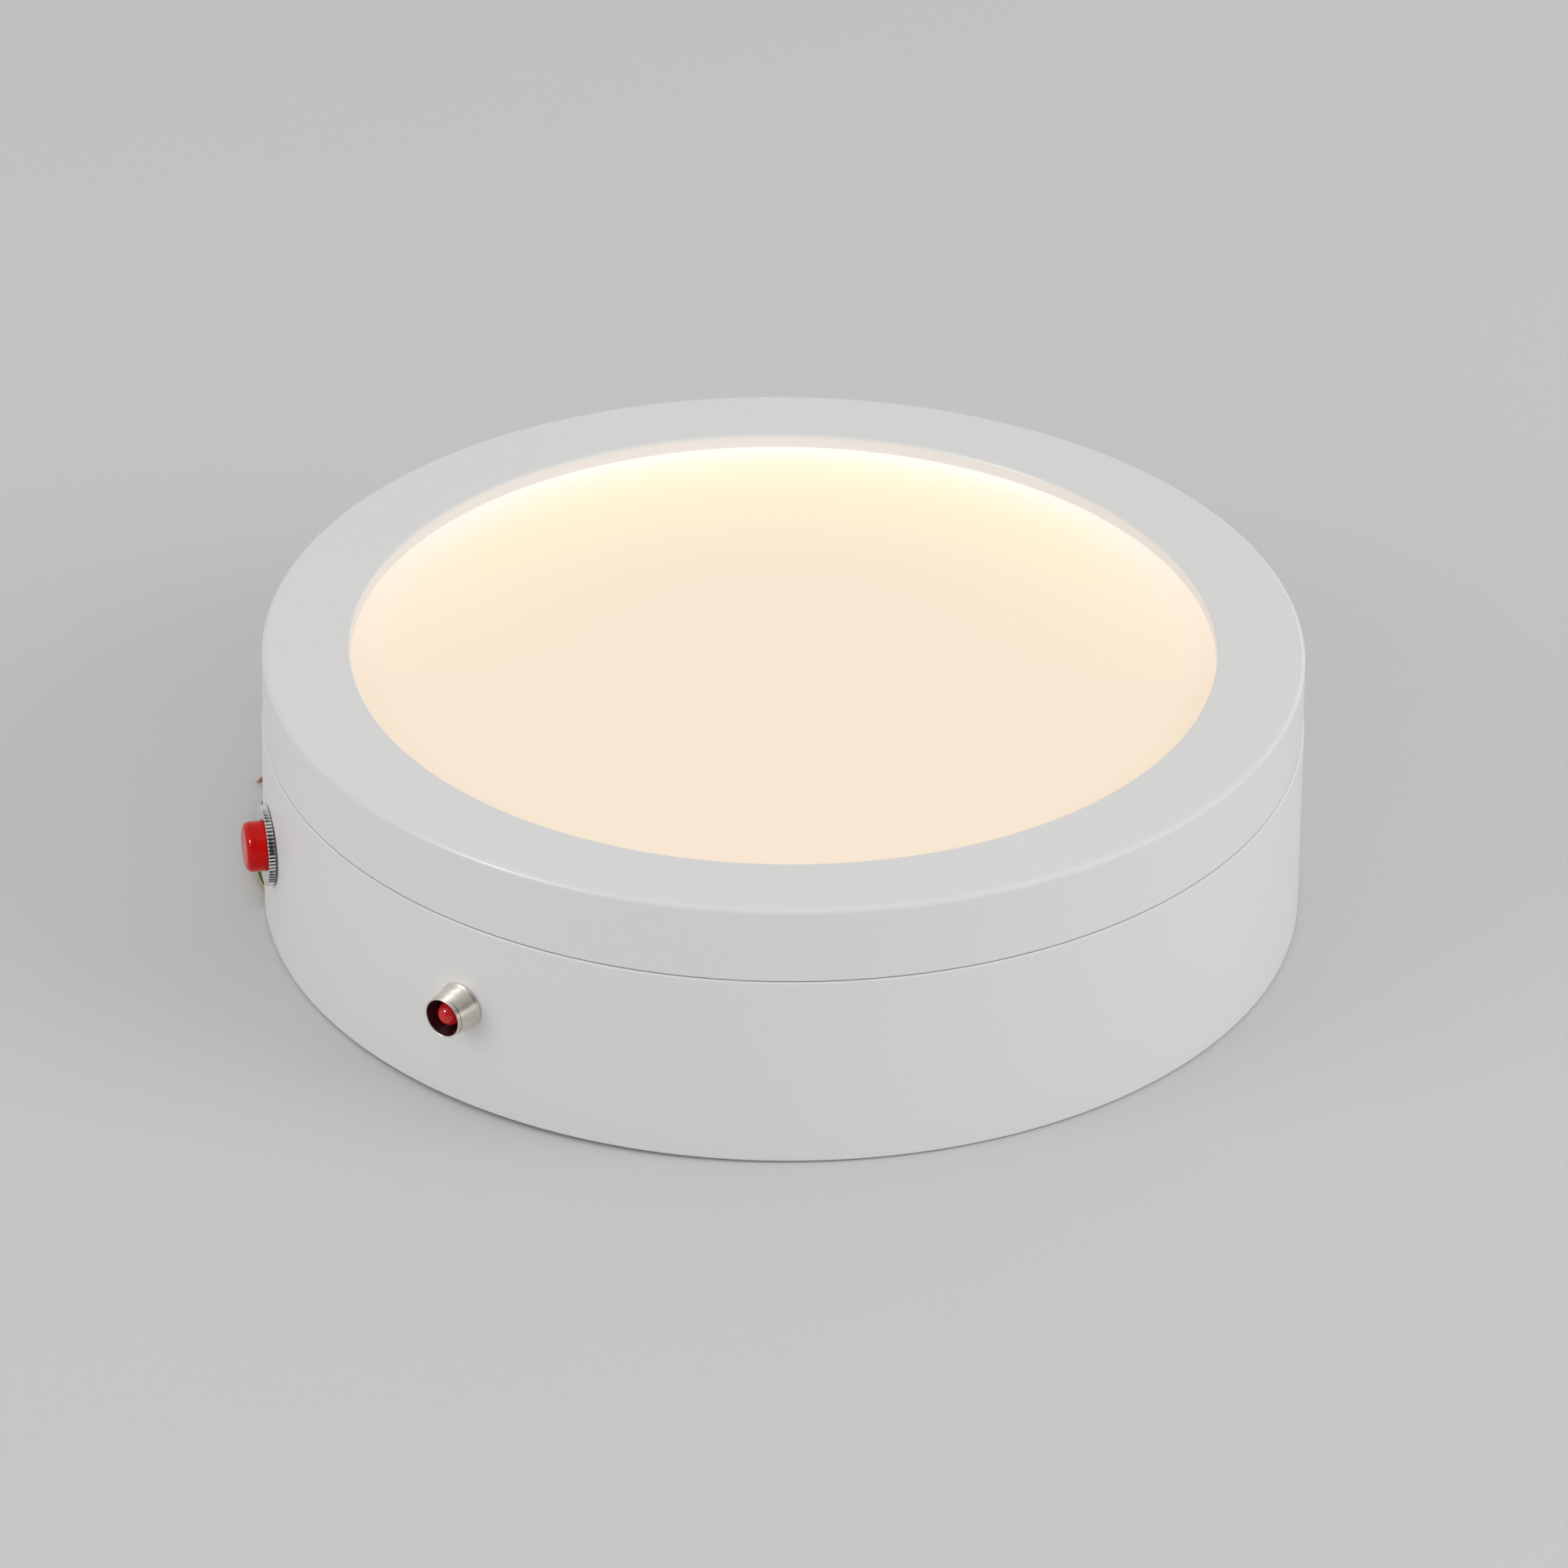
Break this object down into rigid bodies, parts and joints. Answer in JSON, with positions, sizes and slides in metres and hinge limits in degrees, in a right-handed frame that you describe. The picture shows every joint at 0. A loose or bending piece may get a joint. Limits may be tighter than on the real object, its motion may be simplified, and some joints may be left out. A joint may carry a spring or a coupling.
{
  "type": "round emergency panel light",
  "caption": "Round surface-mounted LED panel light with a built-in emergency pack, a red test button in a knurled nut, a charge indicator, and loose mains leads at its back.",
  "frame": {"origin": "centre of the round case in the plane of its back rim, which rests on the ceiling or table", "axes": "+Z the way the light leaves, from the back rim to the diffuser; -X runs out of the case through the axis of the test button; +Y completes a right-handed frame"},
  "size_m": [0.2315, 0.2425, 0.061],
  "materials": {
    "case_paint": "smooth satin white powder coat",
    "opal_diffuser": "satin opal acrylic, lit from its edge",
    "clear_acrylic": "clear polished acrylic",
    "reflector_film": "white film",
    "grey_foam": "soft closed-cell foam",
    "strip_board": "white solder mask",
    "led_phosphor": "phosphor under clear gel",
    "galvanised_steel": "galvanised sheet",
    "zinc_screw": "bright zinc plate",
    "module_plastic": "satin moulded polycarbonate",
    "circuit_board": "solder mask",
    "components": "moulded component bodies",
    "cell_steel": "nickel plate",
    "cell_wrap": "shrink sleeve",
    "terminal_plastic": "moulded polyamide",
    "terminal_brass": "plain brass",
    "earth_plate": "tinned brass",
    "bright_chrome": "bright nickel-chrome plate",
    "red_cap": "gloss moulded",
    "button_stem": "acetal",
    "switch_plastic": "moulded black polyamide",
    "spring_steel": "bright spring wire",
    "satin_nickel": "turned nickel plate",
    "led_red": "tinted epoxy",
    "sleeve_black": "moulded",
    "clamp_nylon": "natural nylon",
    "earth_insulation": "green PVC with a yellow stripe",
    "line_insulation": "brown PVC",
    "neutral_insulation": "blue PVC",
    "copper": "bare tinned-copper strand",
    "wire_white": "white PVC",
    "wire_red": "red PVC"
  },
  "bodies": {
    "light": {"back_plate": "galvanised_steel", "battery_cells": "cell_steel", "battery_strap": "galvanised_steel", "battery_wires": "wire_red", "battery_wraps": "cell_wrap", "button_spring": "spring_steel", "case_screws": "zinc_screw", "clamp_screws": "zinc_screw", "diffuser": "opal_diffuser", "driver_board": "circuit_board", "driver_case": "module_plastic", "driver_components": "components", "driver_input_wires": "wire_white", "driver_lid": "module_plastic", "earth_screw": "earth_plate", "earth_tag": "earth_plate", "emergency_module_board": "circuit_board", "emergency_module_case": "module_plastic", "emergency_module_components": "components", "emergency_module_lid": "module_plastic", "foam_pad": "grey_foam", "front_ring": "case_paint", "housing": "case_paint", "indicator_bezel": "satin_nickel", "indicator_led": "led_red", "indicator_nut": "satin_nickel", "indicator_sleeve": "sleeve_black", "indicator_washer": "zinc_screw", "indicator_wires": "wire_red", "knurled_nut": "bright_chrome", "lead_clamp": "clamp_nylon", "lead_earth": "earth_insulation", "lead_earth_strands": "copper", "lead_line": "line_insulation", "lead_line_strands": "copper", "lead_neutral": "neutral_insulation", "lead_neutral_strands": "copper", "led_chips": "led_phosphor", "led_strip": "strip_board", "light_guide_plate": "clear_acrylic", "mains_wires": "wire_white", "module_screws": "zinc_screw", "panel_back_plate": "galvanised_steel", "panel_screws": "zinc_screw", "panel_wires": "wire_red", "reflector_sheet": "reflector_film", "switch_body": "switch_plastic", "switch_bushing": "bright_chrome", "switch_nut": "bright_chrome", "switch_terminals": "terminal_brass", "switch_washer": "zinc_screw", "switch_wires": "wire_white", "terminal_block": "terminal_plastic", "terminal_inserts": "terminal_brass", "terminal_screws": "zinc_screw", "tie_posts": "zinc_screw"},
    "button": {"test_button_cap": "red_cap", "test_button_stem": "button_stem", "moving_contact": "terminal_brass"}
  },
  "joints": [
    {"name": "test_button_press", "type": "slide", "parent": "light", "child": "button", "axis": [1, 0, 0], "range_m": [0, 0.0025], "stiffness_N_per_m": 700, "springref_m": -0.002, "deforming": ["button_spring"]}
  ]
}
